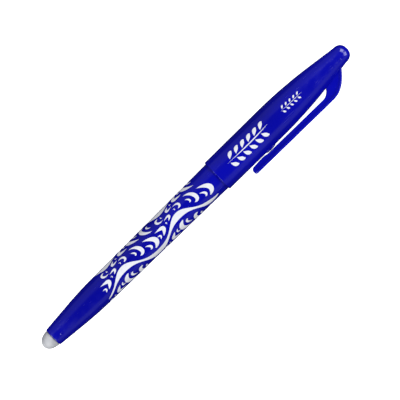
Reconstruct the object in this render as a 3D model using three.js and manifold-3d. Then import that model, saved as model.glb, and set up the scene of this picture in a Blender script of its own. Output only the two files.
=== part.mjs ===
// A capped, refillable marking pen for cloth, with an eraser on its tail.
//
// The pen lies along X: the eraser is at -X and the closed end of the cap at +X. The clip points
// towards -Y. The cap, the widest round part, rests on the plane z = 0. The origin is the centre
// of the pen's footprint. Lengths along the pen are stations, counted from the tip of the eraser.
//
// The eraser plugs into the barrel's tail. The grip section screws into the barrel's front and
// carries a rubber sleeve. The refill stands in both. The cap slides over the section: its shell
// holds an inner cap that seals the point, and its clip flexes where the arm leaves the web.
//
// Radii grow outwards from the refill: tube, section, sleeve, cap, and then the barrel, which is
// flush with the inside of the cap's lip. Stations grow from the eraser to the cap's closed end.

import * as THREE from "three";
import { mergeVertices } from "three/addons/utils/BufferGeometryUtils.js";
import Module from "manifold-3d";

const wasm = await Module();
wasm.setup();

// ---------------------------------------------------------------- driving dimensions, millimetres

const ROUND = 24; // facets round a large part
const FINE_ROUND = 16; // facets round a part of the refill

// Clearances
const FACE_GAP = 0.1; // between two faces that rest on each other
const FIT_GAP = 0.08; // radial, where one piece is pushed into another
const SLIDE_GAP = 0.15; // radial, where one piece slides out of another
const SPLIT_GAP = 0.3; // across the clip's flexure

// Refill
const TUBE_R = 3.0;
const TUBE_WALL = 0.7;
const PLUG_FLANGE = 1;
const PLUG_SPIGOT = 4;
const PLUG_VENT_R = 0.5;
const FOLLOWER_START = 11; // from the refill's tail
const FOLLOWER_LENGTH = 5;
const HOLDER_FLANGE = 1.6;
const HOLDER_SPIGOT = 7;
const HOLDER_SHOULDER = 0.6; // radius lost in front of the flange
const HOLDER_BODY = 10;
const HOLDER_NECK = 3;
const HOLDER_NECK_WALL = 0.62;
const HOLDER_INK_R = 1.2;
const TIP_R = 1.15;
const TIP_CONE = 2.4;
const TIP_SHANK_STEP = 0.25;
const TIP_SHANK = 4;
const TIP_BORE_R = 0.55;
const TIP_CRIMP_R = 0.38; // the bore's rear end, which keeps the spring in
const TIP_CHANNEL_R = 0.2;
const TIP_CHANNEL = 0.75;
const TIP_MOUTH_WALL = 0.1;
const BALL_R = 0.35;
const BALL_SHOWING = 0.2; // length of ball in front of the tip's mouth
const BALL_GAP = 0.02; // between ball and socket
const SPRING_R = 0.4;
const SPRING_WIRE_R = 0.07;
const SPRING_TURNS = 9;
const SPRING_LEAD = 0.6; // length over which the wire leaves the coil for the axis

// Grip section
const SEAT_WALL = 0.8; // under the sleeve
const SEAT_LENGTH = 28.2;
const COLLAR_STEP = 0.1; // above the sleeve's rear
const COLLAR_LENGTH = 3.6;
const SNAP_HEIGHT = 0.08;
const SNAP_HALF = 0.5;
const NOSE_STEP = 0.1; // below the sleeve's front
const NOSE_LENGTH = 12.2;
const NOSE_TIP_WALL = 0.37;
const NOSE_BORE = 6; // length of the close bore round the writing tip
const TIP_PROTRUSION = 2.8; // of the ball in front of the nose

// Grip sleeve
const SLEEVE_WALL = 0.57; // at the front
const SLEEVE_TAPER = 0.3; // radius gained towards the rear
const SLEEVE_GROOVES = 7;
const SLEEVE_GROOVE_PITCH = 2.8;
const SLEEVE_GROOVE_DEPTH = 0.25;
const SLEEVE_GROOVE_HALF = 0.45;
const SLEEVE_EDGE = 0.2;

// Cap
const SNAP_GAP = 0.09; // radial, between the cap's bore and the section's snap bead
const CAP_WALL = 0.9;
const CAP_LIP_WALL = 0.42;
const CAP_LIP_OVERLAP = 0.8; // of the cap's lip over the barrel's front
const CAP_TAPER = 22; // length of the curve between the straight part and the cone
const CAP_CONE = 14; // from the cone's start to the closed end
const CAP_CONE_SLOPE = 0.13; // radius lost for each millimetre
const CAP_DOME = 3.6; // length of the rounded end
const CAP_DOME_SQUARE = 2.4; // exponent: 2 is an ellipse, more is squarer
const CAP_END_WALL = 3.6;
const CAP_EDGE = 0.15;

// Bump on the cap under the clip's tip
const BUMP_FROM_PAD = 4.3; // from the pad's crest
const BUMP_HALF_LENGTH = 2.15;
const BUMP_HALF_WIDTH = 1.6;
const BUMP_HEIGHT = 0.42;

// Clip
const CLIP_WIDTH = 4.6;
const CLIP_FLANGE = 0.85; // thickness of the outer band
const CLIP_RIB_WIDTH = 2.6;
const CLIP_DEPTH = 2.45; // band and rib together
const CLIP_STAND = 0.43; // from the cap to the rib, at the tip
const CLIP_RISE = 0.25; // gained by the outer face from tip to root
const CLIP_ARM = 33.4;
const CLIP_STRAIGHT = 2.6; // from the flexure to the start of the bend
const CLIP_BEND = 9.2; // from the start of the bend to the heel
const CLIP_HEEL = 6.0; // from the heel to the cap's closed end
const CLIP_BEND_START = 0.41; // where the bend's first and second handles lie, as shares of its length
const CLIP_BEND_END = 0.7;
const CLIP_BEND_DROP = 2.2; // of the second handle
const CLIP_ARCH = 3.3; // from the flexure to where the web's front edge lands
const CLIP_ROUND = 1.2; // rounding at the tip
const CLIP_PAD = 5.3; // from the tip to the pad's crest
const CLIP_PAD_GAP = 0.2; // between the pad and the cap
const CLIP_PAD_FLAT = 2;
const CLIP_PAD_RUN = 1.3; // length over which the pad falls back to the rib

// Inner cap
const LINER_WALL = 0.7;
const LINER_ON_NOSE = 3.5; // from the nose's base to the inner cap's mouth
const LINER_SEAL = 0.6; // length of the sealing lip
const LINER_HEADROOM = 2.2; // in front of the ball
const LINER_END_WALL = 0.9;
const CAP_AIR = 6.4; // between the inner cap and the cap's end wall

// Barrel
const BARREL_LENGTH = 77.6;
const BARREL_WALL = 0.9;
const BARREL_FRONT_WALL = 0.82; // outside the thread
const BARREL_TAPER = 0.57; // radius lost from the front to the waist
const BARREL_TAIL_DROP = 1.53; // radius lost from the waist to the tail
const BARREL_WAIST = 17; // from the tail face to the waist
const BARREL_WAIST_BLEND = 6; // length of the round-over on each side of the waist
const BARREL_TAIL_WALL = 0.92;
const BARREL_EDGE = 0.3; // rounding of the tail edge
const BARREL_CUP = 2; // length of the close bore round the refill's tail
const BARREL_BORE_TAPER = 8;
const LEDGE_CLEARANCE = 5.5; // from the eraser's stem to the refill's ledge

// Eraser
const ERASER_LENGTH = 4.4;
const ERASER_STEP = 0.3; // below the barrel's tail
const ERASER_STEM = 8;
const ERASER_BARB = 0.1;
const ERASER_STEM_POINT = 0.6;

// Thread between barrel and section
const THREAD_PITCH = 1.5;
const THREAD_TURNS = 3;
const THREAD_DEPTH = 0.4;
const THREAD_ROOT_HALF = 0.42; // half the ridge's width at its root
const THREAD_FLANK = 0.5; // half-width lost for each millimetre of height
const THREAD_FLANK_GAP = 0.12;
const THREAD_RUN_OUT = 1; // plain length at each end of the ridge

// ---------------------------------------------------------------- radii, from the refill outwards

const tubeBoreR = TUBE_R - TUBE_WALL;
const sectionBoreR = TUBE_R + SLIDE_GAP;
const seatR = sectionBoreR + SEAT_WALL;
const sleeveBoreR = seatR + FIT_GAP;
const sleeveFrontR = sleeveBoreR + SLEEVE_WALL;
const sleeveRearR = sleeveFrontR + SLEEVE_TAPER;
const collarR = sleeveRearR + COLLAR_STEP;
const noseBaseR = sleeveFrontR - NOSE_STEP;
const tipBoreR = TIP_R + FIT_GAP;
const noseTipR = tipBoreR + NOSE_TIP_WALL;
const capBoreR = collarR + SNAP_HEIGHT + SNAP_GAP;
const capR = capBoreR + CAP_WALL;
const capMouthR = capR - CAP_LIP_WALL;
const barrelFrontR = capMouthR - SLIDE_GAP;
const barrelWaistR = barrelFrontR - BARREL_TAPER;
const barrelTailR = barrelWaistR - BARREL_TAIL_DROP;
const stemBoreR = barrelTailR - BARREL_TAIL_WALL;
const stemR = stemBoreR - FIT_GAP - ERASER_BARB;
const threadRootR = barrelFrontR - BARREL_FRONT_WALL;
const threadBoreR = threadRootR - THREAD_DEPTH;
const spigotR = threadBoreR - FIT_GAP;
const shankR = TIP_R - TIP_SHANK_STEP;
const holderBodyR = TUBE_R - HOLDER_SHOULDER;
const holderNeckR = shankR + FIT_GAP + HOLDER_NECK_WALL;
const socketR = BALL_R + BALL_GAP;
const clipTipReach = capR + CLIP_STAND + CLIP_DEPTH; // outer face from the pen's axis
const clipReach = clipTipReach + CLIP_RISE;

// ---------------------------------------------------------------- stations, from tail to cap end

const barrelTail = ERASER_LENGTH;
const stemEnd = barrelTail + ERASER_STEM;
const ledge = stemEnd + LEDGE_CLEARANCE;
const refillTail = ledge + FACE_GAP;
const barrelFront = barrelTail + BARREL_LENGTH;
const collarStart = barrelFront + FACE_GAP;
const threadRear = collarStart - 2 * THREAD_RUN_OUT - THREAD_PITCH * THREAD_TURNS;
const threadStart = threadRear + THREAD_RUN_OUT;
const snapCrest = collarStart + COLLAR_LENGTH / 2;
const seatStart = collarStart + COLLAR_LENGTH;
const noseBase = seatStart + SEAT_LENGTH;
const noseEnd = noseBase + NOSE_LENGTH;
const holderNose = noseEnd - NOSE_BORE;
const neckRear = holderNose - HOLDER_NECK;
const holderBodyRear = neckRear - HOLDER_BODY;
const tubeFront = holderBodyRear - HOLDER_FLANGE;
const tubeRear = refillTail + PLUG_FLANGE;
const followerRear = refillTail + FOLLOWER_START;
const followerFront = followerRear + FOLLOWER_LENGTH;
const ballFront = noseEnd + TIP_PROTRUSION;
const ballCentre = ballFront - BALL_R;
const tipMouth = ballFront - BALL_SHOWING;
const shankRear = holderNose + FACE_GAP - TIP_SHANK;
const channelFront = ballCentre - Math.sqrt(socketR ** 2 - TIP_CHANNEL_R ** 2);
const channelRear = channelFront - TIP_CHANNEL;
const linerMouth = noseBase + LINER_ON_NOSE;
const linerEnd = ballFront + LINER_HEADROOM + LINER_END_WALL;
const capMouth = barrelFront - CAP_LIP_OVERLAP;
const cavityEnd = linerEnd + CAP_AIR;
const capEnd = cavityEnd + CAP_END_WALL;
const coneStart = capEnd - CAP_CONE;
const taperStart = coneStart - CAP_TAPER;
const domeStart = capEnd - CAP_DOME;
const clipHeel = capEnd - CLIP_HEEL;
const clipBend = clipHeel - CLIP_BEND;
const clipSplit = clipBend - CLIP_STRAIGHT;
const clipTip = clipSplit - CLIP_ARM;
const padCrest = clipTip + CLIP_PAD;

// ---------------------------------------------------------------- outlines, as radius by station

const p = (radius, station) => new THREE.Vector2(radius, station);

// A rounded corner, as points of a quadratic curve without its first point.
function bend(from, corner, to, segments) {
  return new THREE.QuadraticBezierCurve(from, corner, to).getPoints(segments).slice(1);
}

// The barrel's outside, from its tail face to its front: a cone, a round-over and a long taper.
function barrelOutside() {
  const waist = barrelTail + BARREL_WAIST;
  const coneSlope = BARREL_TAIL_DROP / BARREL_WAIST;
  const taperSlope = BARREL_TAPER / (BARREL_LENGTH - BARREL_WAIST);
  const edgeStart = p(barrelTailR - BARREL_EDGE, barrelTail);
  const edgeEnd = p(barrelTailR + coneSlope * BARREL_EDGE, barrelTail + BARREL_EDGE);
  const coneEnd = p(barrelWaistR - coneSlope * BARREL_WAIST_BLEND, waist - BARREL_WAIST_BLEND);
  const longTaper = p(barrelWaistR + taperSlope * BARREL_WAIST_BLEND, waist + BARREL_WAIST_BLEND);
  return [
    edgeStart,
    ...bend(edgeStart, p(barrelTailR, barrelTail), edgeEnd, 3),
    coneEnd,
    ...bend(coneEnd, p(barrelWaistR, waist), longTaper, 4),
    p(barrelFrontR, barrelFront),
  ];
}

const coneStartR = capR - (CAP_CONE_SLOPE * CAP_TAPER) / 2;
const coneR = (station) => coneStartR - CAP_CONE_SLOPE * (station - coneStart);

// The curve between the cap's straight part and its cone, moved in by `inset`.
function capTaper(inset) {
  const start = p(capR - inset, taperStart);
  const corner = p(capR - inset, (taperStart + coneStart) / 2);
  return [start, ...bend(start, corner, p(coneStartR - inset, coneStart), 6)];
}

// The cap's rounded end: a quarter of a superellipse that finishes on the axis.
function capDome(segments) {
  const power = 2 / CAP_DOME_SQUARE;
  const rim = [];
  for (let i = 1; i < segments; i++) {
    const turn = (i / segments) * (Math.PI / 2);
    rim.push(p(coneR(domeStart) * Math.cos(turn) ** power, domeStart + CAP_DOME * Math.sin(turn) ** power));
  }
  return [p(coneR(domeStart), domeStart), ...rim, p(0, capEnd)];
}

// The inside of the cap's shell, from its taper to its end wall.
const capCavity = () => [...capTaper(CAP_WALL), p(coneR(cavityEnd) - CAP_WALL, cavityEnd)];

// The radius of an outline at a station, between the two points around it.
function radiusAt(outline, station) {
  const next = outline.findIndex((point) => point.y >= station);
  const [a, b] = [outline[next - 1], outline[next]];
  return a.x + ((b.x - a.x) * (station - a.y)) / (b.y - a.y);
}

const noseR = (station) => noseBaseR - ((noseBaseR - noseTipR) * (station - noseBase)) / NOSE_LENGTH;

// The half-width of the thread's ridge at a radius.
const threadHalf = (radius) => THREAD_ROOT_HALF - THREAD_FLANK * (radius - spigotR);

// The thread's section between two radii, wider on each flank by `gap`, as [radius, offset].
function threadSection(low, high, gap) {
  return [
    [low, -threadHalf(low) - gap],
    [high, -threadHalf(high) - gap],
    [high, threadHalf(high) + gap],
    [low, threadHalf(low) + gap],
  ];
}

// ---------------------------------------------------------------- geometry helpers

// Turns an outline round the pen's axis. It runs from tail to front on the outside.
function turned(outline, facets = ROUND) {
  return new THREE.LatheGeometry(outline, facets).rotateZ(-Math.PI / 2);
}

// A flat outline as station and Y, given a thickness that is centred on the pen's axis.
function plate(points, thickness) {
  const shape = new THREE.Shape(points);
  return new THREE.ExtrudeGeometry(shape, { depth: thickness, bevelEnabled: false }).translate(
    0,
    0,
    -thickness / 2,
  );
}

// A right-handed ridge round the pen's axis, between two turns counted from `start`. It climbs
// one pitch towards the front in each turn.
function helix(section, start, fromTurn, toTurn) {
  const sides = section.length;
  const steps = Math.round((toTurn - fromTurn) * ROUND);
  const positions = [];
  for (let i = 0; i <= steps; i++) {
    const turn = fromTurn + i / ROUND;
    const angle = turn * 2 * Math.PI;
    for (const [radius, offset] of section)
      positions.push(
        start + THREAD_PITCH * turn + offset,
        radius * Math.cos(angle),
        radius * Math.sin(angle),
      );
  }
  const index = [];
  for (let i = 0; i < steps; i++)
    for (let j = 0; j < sides; j++) {
      const a = i * sides + j;
      const b = i * sides + ((j + 1) % sides);
      index.push(a, a + sides, b, b, a + sides, b + sides);
    }
  const last = steps * sides;
  for (let j = 1; j < sides - 1; j++) index.push(0, j, j + 1, last, last + j + 1, last + j);
  const geometry = new THREE.BufferGeometry();
  geometry.setAttribute("position", new THREE.Float32BufferAttribute(positions, 3));
  geometry.setIndex(index);
  return geometry;
}

// A closed geometry as a solid that can be joined and cut.
function solid(geometry) {
  const bare = geometry.clone();
  bare.deleteAttribute("normal");
  bare.deleteAttribute("uv");
  const merged = mergeVertices(bare, 1e-5);
  const corners = merged.index.array;
  const kept = [];
  for (let i = 0; i < corners.length; i += 3) {
    const [a, b, c] = corners.slice(i, i + 3);
    if (a !== b && b !== c && c !== a) kept.push(a, b, c);
  }
  const vertProperties = merged.attributes.position.array;
  return new wasm.Manifold(new wasm.Mesh({ numProp: 3, vertProperties, triVerts: new Uint32Array(kept) }));
}

// A solid as a geometry with flat faces.
function geometryOf(body) {
  const mesh = body.getMesh();
  const geometry = new THREE.BufferGeometry();
  geometry.setAttribute("position", new THREE.BufferAttribute(mesh.vertProperties, 3));
  geometry.setIndex(new THREE.BufferAttribute(mesh.triVerts, 1));
  const flat = geometry.toNonIndexed();
  flat.computeVertexNormals();
  return flat;
}

// ---------------------------------------------------------------- materials

const plastic = (color, roughness) => new THREE.MeshStandardMaterial({ color, roughness, metalness: 0 });
const metal = (color, roughness) => new THREE.MeshStandardMaterial({ color, roughness, metalness: 1 });

const blueGloss = plastic(0x1418b4, 0.25);
const blueSatin = plastic(0x1620a0, 0.45);
const blueRubber = plastic(0x101c8c, 0.85);
const paleRubber = plastic(0xc4c6cc, 0.6);
const milkyPlastic = plastic(0xe9ecee, 0.45);
const inkBlue = plastic(0x0a1478, 0.3);
const grease = plastic(0xd8cfa8, 0.3);
const steel = metal(0xc8cacc, 0.25);
const carbide = metal(0x8c8e92, 0.15);

// ---------------------------------------------------------------- the pen

const pen = new THREE.Group();
pen.position.set(-capEnd / 2, (clipReach - capR) / 2, capR);

function add(name, geometry, material) {
  const mesh = new THREE.Mesh(geometry, material);
  mesh.name = name;
  pen.add(mesh);
}

function eraser() {
  const dome = [];
  const segments = 6;
  const foot = ERASER_LENGTH - FACE_GAP;
  const domeR = barrelTailR - ERASER_STEP;
  for (let i = 1; i <= segments; i++) {
    const turn = (i / segments) * (Math.PI / 2);
    dome.push(p(domeR * Math.sin(turn), foot * (1 - Math.cos(turn))));
  }
  const barb = stemEnd - ERASER_STEM_POINT;
  const outline = [
    p(0, 0),
    ...dome,
    p(stemR, foot),
    p(stemR, barb - ERASER_STEM_POINT),
    p(stemR + ERASER_BARB, barb),
    p(stemR - ERASER_STEM_POINT, stemEnd),
    p(0, stemEnd),
  ];
  add("eraser", turned(outline), paleRubber);
}

function barrel() {
  const cupR = TUBE_R + SLIDE_GAP;
  const cupEnd = ledge + BARREL_CUP;
  const taperEnd = cupEnd + BARREL_BORE_TAPER;
  const openR = radiusAt(barrelOutside(), taperEnd) - BARREL_WALL;
  const boreEnd = threadRear - FACE_GAP;
  const outline = [
    p(stemBoreR, barrelTail),
    ...barrelOutside(),
    p(threadBoreR, barrelFront),
    p(threadBoreR, boreEnd),
    p(openR, boreEnd),
    p(openR, taperEnd),
    p(cupR, cupEnd),
    p(cupR, ledge),
    p(stemBoreR, ledge),
    p(stemBoreR, barrelTail),
  ];
  const low = threadBoreR - THREAD_DEPTH / 2;
  const high = spigotR + THREAD_DEPTH + FIT_GAP;
  const turns = (barrelFront - threadStart) / THREAD_PITCH + 1;
  const groove = helix(threadSection(low, high, THREAD_FLANK_GAP), threadStart, -0.25, turns);
  add("barrel", geometryOf(solid(turned(outline)).subtract(solid(groove))), blueGloss);
}

function gripSection() {
  const bodyBore = holderBodyR + SLIDE_GAP;
  const neckBore = holderNeckR + SLIDE_GAP;
  const outline = [
    p(sectionBoreR, threadRear),
    p(spigotR, threadRear),
    p(spigotR, collarStart),
    p(collarR, collarStart),
    p(collarR, snapCrest - SNAP_HALF),
    p(collarR + SNAP_HEIGHT, snapCrest),
    p(collarR, snapCrest + SNAP_HALF),
    p(collarR, seatStart),
    p(seatR, seatStart),
    p(seatR, noseBase),
    p(noseBaseR, noseBase),
    p(noseTipR, noseEnd),
    p(tipBoreR, noseEnd),
    p(tipBoreR, holderNose + FACE_GAP),
    p(neckBore, holderNose + FACE_GAP),
    p(bodyBore, neckRear + FACE_GAP),
    p(bodyBore, holderBodyRear + FACE_GAP),
    p(sectionBoreR, holderBodyRear + FACE_GAP),
    p(sectionBoreR, threadRear),
  ];
  const ridge = threadSection(spigotR - THREAD_DEPTH / 2, spigotR + THREAD_DEPTH, 0);
  const thread = helix(ridge, threadStart, 0, THREAD_TURNS);
  add("grip_section", geometryOf(solid(turned(outline)).add(solid(thread))), blueSatin);
}

function gripSleeve() {
  const rear = seatStart + FACE_GAP;
  const front = noseBase - FACE_GAP;
  const outerR = (station) => sleeveRearR - (SLEEVE_TAPER * (station - rear)) / (front - rear);
  const outline = [
    p(sleeveBoreR, rear),
    p(outerR(rear) - SLEEVE_EDGE, rear),
    p(outerR(rear + SLEEVE_EDGE), rear + SLEEVE_EDGE),
  ];
  for (let i = 0; i < SLEEVE_GROOVES; i++) {
    const centre = (rear + front) / 2 + (i - (SLEEVE_GROOVES - 1) / 2) * SLEEVE_GROOVE_PITCH;
    outline.push(p(outerR(centre - SLEEVE_GROOVE_HALF), centre - SLEEVE_GROOVE_HALF));
    outline.push(p(outerR(centre) - SLEEVE_GROOVE_DEPTH, centre));
    outline.push(p(outerR(centre + SLEEVE_GROOVE_HALF), centre + SLEEVE_GROOVE_HALF));
  }
  outline.push(
    p(outerR(front - SLEEVE_EDGE), front - SLEEVE_EDGE),
    p(outerR(front) - SLEEVE_EDGE, front),
    p(sleeveBoreR, front),
    p(sleeveBoreR, rear),
  );
  add("grip_sleeve", turned(outline), blueRubber);
}

// The outer face of the clip's root, from the start of its bend to the heel, moved in by `inset`.
function heelCurve(inset) {
  const curve = new THREE.CubicBezierCurve(
    p(clipBend, -clipReach),
    p(clipBend + CLIP_BEND_START * CLIP_BEND, -clipReach),
    p(clipBend + CLIP_BEND_END * CLIP_BEND, CLIP_BEND_DROP - clipReach),
    p(clipHeel, -coneR(clipHeel)),
  );
  return [0, 1, 2, 3, 4, 5, 6, 7, 8].map((i) => {
    const point = curve.getPoint(i / 8);
    const along = curve.getTangent(i / 8);
    return p(point.x - along.y * inset, point.y + along.x * inset);
  });
}

// The clip's root on the cap's shell: a wide outer band, and a narrow web down to the cap.
function clipRoot() {
  const start = clipSplit + SPLIT_GAP / 2;
  const arch = clipSplit + CLIP_ARCH;
  const rib = CLIP_DEPTH - clipReach;
  const inner = heelCurve(CLIP_FLANGE).reverse();
  const band = [p(start, -clipReach), ...heelCurve(0), ...inner, p(start, CLIP_FLANGE - clipReach)];
  const archCurve = new THREE.QuadraticBezierCurve(
    p(arch, -coneR(arch)),
    p((2 * start + arch) / 3, (rib - coneR(arch)) / 2),
    p(start, rib),
  );
  const middle = CLIP_FLANGE / 2;
  const web = [
    p(start, middle - clipReach),
    ...heelCurve(middle),
    p(clipHeel - middle, 0),
    p(arch, 0),
    ...archCurve.getPoints(5),
  ];
  return solid(plate(band, CLIP_WIDTH)).add(solid(plate(web, CLIP_RIB_WIDTH)));
}

function clipBump() {
  const depth = CAP_WALL / 2 + BUMP_HEIGHT;
  const ball = new THREE.SphereGeometry(1, 12, 8).scale(BUMP_HALF_LENGTH, depth, BUMP_HALF_WIDTH);
  return solid(ball.translate(padCrest + BUMP_FROM_PAD, CAP_WALL / 2 - capR, 0));
}

function capShell() {
  const outside = [
    p(0, capMouth),
    p(capR - CAP_EDGE, capMouth),
    p(capR, capMouth + CAP_EDGE),
    ...capTaper(0),
    ...capDome(6),
  ];
  const lipEnd = barrelFront + FACE_GAP;
  const inside = [
    p(0, capMouth - 1),
    p(capMouthR, capMouth - 1),
    p(capMouthR, lipEnd),
    p(capBoreR, lipEnd),
    ...capCavity(),
    p(0, cavityEnd),
  ];
  const body = solid(turned(outside)).add(clipRoot()).add(clipBump());
  add("cap_shell", geometryOf(body.subtract(solid(turned(inside)))), blueGloss);
}

function clip() {
  const end = clipSplit - SPLIT_GAP / 2;
  const faceY = (station) => -clipTipReach - (CLIP_RISE * (station - clipTip)) / CLIP_ARM;
  const ribY = (station) => faceY(station) + CLIP_DEPTH;
  const flangeY = (station) => faceY(station) + CLIP_FLANGE;
  const padY = -capR - CLIP_PAD_GAP;
  const padRear = padCrest - CLIP_PAD_FLAT / 2;
  const padFront = padCrest + CLIP_PAD_FLAT / 2;
  const tipOuter = bend(
    p(clipTip, flangeY(clipTip)),
    p(clipTip, faceY(clipTip)),
    p(clipTip + CLIP_FLANGE, faceY(clipTip + CLIP_FLANGE)),
    3,
  );
  const band = [p(end, flangeY(end)), p(clipTip, flangeY(clipTip)), ...tipOuter, p(end, faceY(end))];
  const tipInner = bend(
    p(clipTip, ribY(clipTip) - CLIP_ROUND),
    p(clipTip, ribY(clipTip)),
    p(clipTip + CLIP_ROUND, ribY(clipTip + CLIP_ROUND)),
    3,
  );
  const rib = [
    p(end, (faceY(end) + flangeY(end)) / 2),
    p(clipTip, (faceY(clipTip) + flangeY(clipTip)) / 2),
    p(clipTip, ribY(clipTip) - CLIP_ROUND),
    ...tipInner,
    p(padRear, padY),
    p(padFront, padY),
    p(padFront + CLIP_PAD_RUN, ribY(padFront + CLIP_PAD_RUN)),
    p(end, ribY(end)),
  ];
  const arm = solid(plate(band, CLIP_WIDTH)).add(solid(plate(rib, CLIP_RIB_WIDTH)));
  add("clip", geometryOf(arm.intersect(clipPlan(end))), blueGloss);
}

// A block whose outline, seen from the side that the clip is on, is the arm with its round tip.
function clipPlan(end) {
  const half = CLIP_WIDTH / 2;
  const upper = bend(p(clipTip, half - CLIP_ROUND), p(clipTip, half), p(clipTip + CLIP_ROUND, half), 4);
  const lower = upper.map((point) => p(point.x, -point.y)).reverse();
  const outline = [
    p(end + 1, -half - 1),
    p(clipTip + CLIP_ROUND, -half - 1),
    ...lower,
    p(clipTip, CLIP_ROUND - half),
    p(clipTip, half - CLIP_ROUND),
    ...upper,
    p(clipTip + CLIP_ROUND, half + 1),
    p(end + 1, half + 1),
  ];
  return solid(plate(outline, 3 * clipReach).rotateX(Math.PI / 2));
}

function innerCap() {
  const cavity = capCavity();
  const outerR = (station) => radiusAt(cavity, station) - FIT_GAP;
  const roof = linerEnd - LINER_END_WALL;
  const sealR = noseR(linerMouth) + SLIDE_GAP;
  const stations = (from, to) => [0, 1, 2, 3].map((i) => from + (i / 3) * (to - from));
  const outside = stations(linerMouth, linerEnd).map((s) => p(outerR(s), s));
  const inside = stations(roof, linerMouth + 2 * LINER_SEAL).map((s) => p(outerR(s) - LINER_WALL, s));
  const outline = [
    p(sealR, linerMouth),
    ...outside,
    p(0, linerEnd),
    p(0, roof),
    ...inside,
    p(sealR, linerMouth + LINER_SEAL),
    p(sealR, linerMouth),
  ];
  add("inner_cap", turned(outline), milkyPlastic);
}

function refillTube() {
  const rear = tubeRear + FACE_GAP;
  const front = tubeFront - FACE_GAP;
  const outline = [
    p(tubeBoreR, rear),
    p(TUBE_R, rear),
    p(TUBE_R, front),
    p(tubeBoreR, front),
    p(tubeBoreR, rear),
  ];
  add("refill_tube", turned(outline, FINE_ROUND), milkyPlastic);
}

function refillTailPlug() {
  const spigot = tubeBoreR - FIT_GAP;
  const outline = [
    p(PLUG_VENT_R, refillTail),
    p(TUBE_R, refillTail),
    p(TUBE_R, tubeRear),
    p(spigot, tubeRear),
    p(spigot, tubeRear + PLUG_SPIGOT),
    p(PLUG_VENT_R, tubeRear + PLUG_SPIGOT),
    p(PLUG_VENT_R, refillTail),
  ];
  add("refill_tail_plug", turned(outline, FINE_ROUND), milkyPlastic);
}

function inkAndFollower() {
  const slug = (rear, front) => [
    p(0, rear),
    p(tubeBoreR - FIT_GAP, rear),
    p(tubeBoreR - FIT_GAP, front),
    p(0, front),
  ];
  const inkFront = tubeFront - HOLDER_SPIGOT - FACE_GAP;
  add("follower", turned(slug(followerRear, followerFront), FINE_ROUND), grease);
  add("ink_column", turned(slug(followerFront + FACE_GAP, inkFront), FINE_ROUND), inkBlue);
}

function tipHolder() {
  const spigot = tubeBoreR - FIT_GAP;
  const rear = tubeFront - HOLDER_SPIGOT;
  const shankBore = shankR + FIT_GAP;
  const outline = [
    p(HOLDER_INK_R, rear),
    p(spigot, rear),
    p(spigot, tubeFront),
    p(TUBE_R, tubeFront),
    p(TUBE_R, holderBodyRear),
    p(holderBodyR, holderBodyRear),
    p(holderBodyR, neckRear),
    p(holderNeckR, holderNose),
    p(shankBore, holderNose),
    p(shankBore, shankRear - FACE_GAP),
    p(HOLDER_INK_R, shankRear - FACE_GAP),
    p(HOLDER_INK_R, rear),
  ];
  add("tip_holder", turned(outline, FINE_ROUND), milkyPlastic);
}

// The metal tip: a shank in the holder, a cone, and a socket that keeps the ball in.
function writingTip() {
  const mouthTurn = Math.acos((tipMouth - ballCentre) / socketR);
  const channelTurn = Math.PI - Math.asin(TIP_CHANNEL_R / socketR);
  const socket = [0, 1, 2, 3, 4, 5].map((i) => {
    const turn = mouthTurn + ((channelTurn - mouthTurn) * i) / 5;
    return p(socketR * Math.sin(turn), ballCentre + socketR * Math.cos(turn));
  });
  const crimpEnd = shankRear + TIP_BORE_R;
  const outline = [
    p(TIP_CRIMP_R, shankRear),
    p(shankR, shankRear),
    p(shankR, holderNose + FACE_GAP),
    p(TIP_R, holderNose + FACE_GAP),
    p(TIP_R, tipMouth - TIP_CONE),
    p(socket[0].x + TIP_MOUTH_WALL, tipMouth),
    ...socket,
    p(TIP_CHANNEL_R, channelRear),
    p(TIP_BORE_R, channelRear),
    p(TIP_BORE_R, crimpEnd),
    p(TIP_CRIMP_R, shankRear),
  ];
  add("writing_tip", turned(outline, FINE_ROUND), steel);
}

function ball() {
  const sphere = new THREE.SphereGeometry(BALL_R, 12, 8).rotateZ(-Math.PI / 2);
  add("ball", sphere.translate(ballCentre, 0, 0), carbide);
}

// The spring behind the ball: a coil whose last stretch runs straight through the channel.
function tipSpring() {
  const stepsPerTurn = 8;
  const coilRear = shankRear + TIP_BORE_R + FACE_GAP;
  const coilFront = channelRear - SPRING_LEAD;
  const points = [];
  for (let i = 0; i <= SPRING_TURNS * stepsPerTurn; i++) {
    const angle = (i / stepsPerTurn) * 2 * Math.PI;
    const station = coilRear + ((coilFront - coilRear) * i) / (SPRING_TURNS * stepsPerTurn);
    points.push(new THREE.Vector3(station, SPRING_R * Math.cos(angle), SPRING_R * Math.sin(angle)));
  }
  points.push(new THREE.Vector3(channelRear, 0, 0));
  points.push(new THREE.Vector3(ballCentre - BALL_R - SPRING_WIRE_R, 0, 0));
  const path = new THREE.CurvePath();
  for (let i = 1; i < points.length; i++) path.add(new THREE.LineCurve3(points[i - 1], points[i]));
  const corners = [0, 1, 2, 3, 4].map((i) => {
    const angle = (i / 5) * 2 * Math.PI;
    return p(SPRING_WIRE_R * Math.cos(angle), SPRING_WIRE_R * Math.sin(angle));
  });
  const options = { steps: points.length - 1, extrudePath: path };
  add("tip_spring", new THREE.ExtrudeGeometry(new THREE.Shape(corners), options), steel);
}

eraser();
barrel();
gripSection();
gripSleeve();
capShell();
clip();
innerCap();
refillTube();
refillTailPlug();
inkAndFollower();
tipHolder();
writingTip();
ball();
tipSpring();

export default pen;
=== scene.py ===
# %% [markdown]
# # A marking pen for cloth, piece by piece
#
# This lesson builds a capped pen: a glossy blue barrel with a printed pattern, a pale eraser on
# its tail, and a cap with a clip. Most of the pieces are turned, as on a lathe, so one small
# Geometry Nodes tree makes them all. A second tree lays the print on the barrel and on the cap.
# The clip is a moulding that is swept along the cap.

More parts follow.
